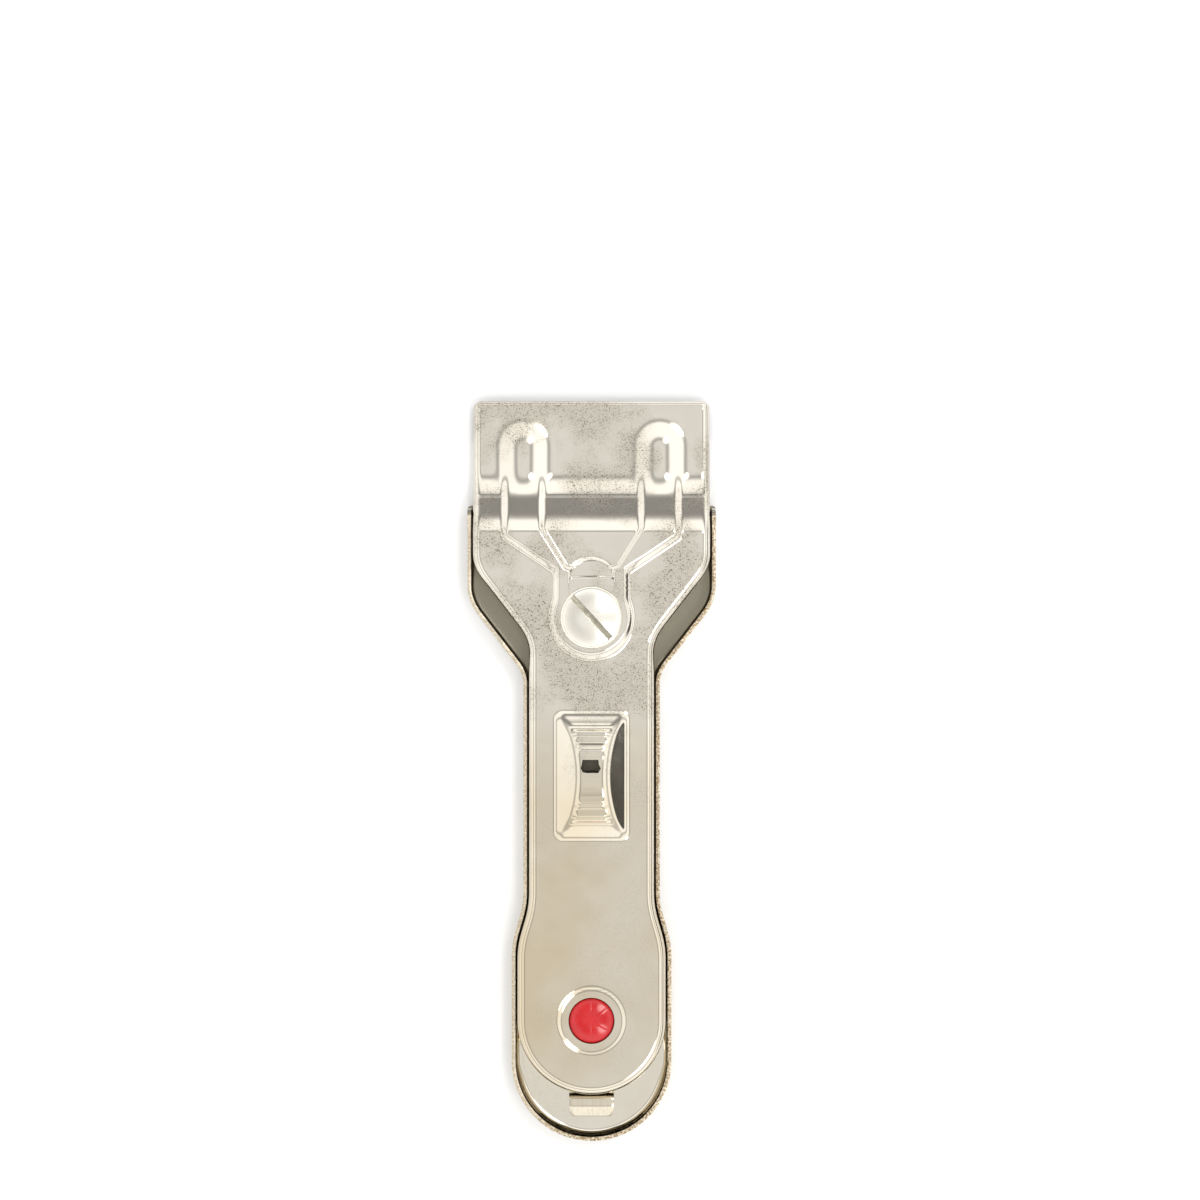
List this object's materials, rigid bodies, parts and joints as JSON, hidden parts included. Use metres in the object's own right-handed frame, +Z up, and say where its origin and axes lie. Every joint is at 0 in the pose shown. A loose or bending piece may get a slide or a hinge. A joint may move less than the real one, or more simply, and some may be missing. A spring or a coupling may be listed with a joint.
{
  "type": "hob_scraper",
  "caption": "Nickel-plated hob scraper: pressed cover with thumb grip slides in a pressed tray to bare or guard a clamped razor blade; slotted clamp screw and red lock button.",
  "frame": {"origin": "bottom centre of the bounding box, on the surface that the tray lies on", "axes": "+X right seen from above with the blade away, +Y towards the blade, +Z up out of the cover"},
  "size_m": [0.047, 0.14, 0.0124],
  "materials": {
    "nickel_plate": "polished nickel plate, faintly hazed",
    "spring_steel": "plated spring steel",
    "blade_steel": "ground blade steel",
    "plain_steel": "turned steel",
    "red_plastic": "glossy moulded"
  },
  "bodies": {
    "tray": {"lower_tray": "nickel_plate", "blade": "blade_steel", "blade_pins": "plain_steel", "clamp_pillar": "plain_steel", "guide_pillar": "plain_steel", "guide_rivet": "plain_steel", "guide_washer": "plain_steel", "lock_spring": "spring_steel", "lock_rivets": "plain_steel"},
    "cover": {"sliding_cover": "nickel_plate", "thumb_grip": "nickel_plate"},
    "button": {"lock_button": "red_plastic"},
    "clamp": {"blade_clamp": "nickel_plate", "slot_collar": "plain_steel"},
    "screw": {"clamp_screw": "nickel_plate"}
  },
  "joints": [
    {"name": "cover_slide", "type": "slide", "parent": "tray", "child": "cover", "axis": [0, -1, 0], "range_m": [0, 0.0055], "deforming": ["lock_spring"]},
    {"name": "lock_press", "type": "slide", "parent": "cover", "child": "button", "axis": [0, 0, -1], "range_m": [0, 0.0008], "stiffness_N_per_m": 1500, "springref_m": -0.001, "deforming": ["lock_spring"]},
    {"name": "screw_turn", "type": "hinge", "parent": "clamp", "child": "screw", "pos_m": [0, 0.029, 0], "axis": [0, 0, 1], "range_deg": [0, 360]},
    {"name": "clamp_lift", "type": "slide", "parent": "tray", "child": "clamp", "axis": [0, 0, 1], "range_m": [0, 0.0007]}
  ],
  "couplings": [
    {"joint": "screw_turn", "follows": "clamp_lift", "rad_per_m": 8976}
  ]
}
